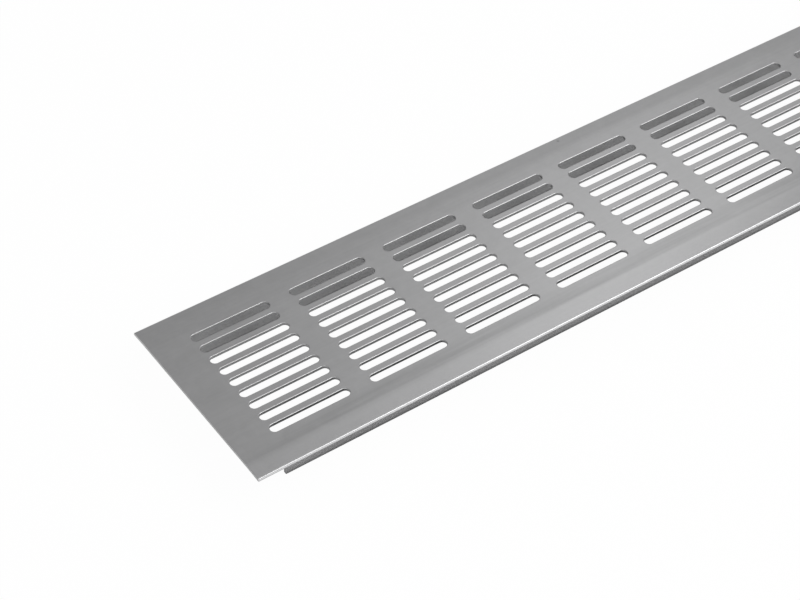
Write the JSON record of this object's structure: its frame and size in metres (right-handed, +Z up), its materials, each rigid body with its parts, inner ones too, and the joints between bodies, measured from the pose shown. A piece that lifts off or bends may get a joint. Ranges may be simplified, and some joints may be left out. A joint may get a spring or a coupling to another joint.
{
  "type": "slotted ventilation grille panel",
  "caption": "Flat slotted ventilation grille panel: a thin aluminium face plate with rows of round-ended air slots, carried on two long legs that stop short of its ends.",
  "frame": {"origin": "under the middle of the panel, on the plane that its two feet stand on", "axes": "+X along the panel, +Y across it, +Z up through the face plate; the feet stand on z = 0"},
  "size_m": [0.48, 0.1008, 0.0205],
  "materials": {
    "satin_aluminium": "satin natural anodised, fine extrusion lines along the length"
  },
  "bodies": {
    "root": {"grille_panel": "satin_aluminium"}
  },
  "joints": []
}
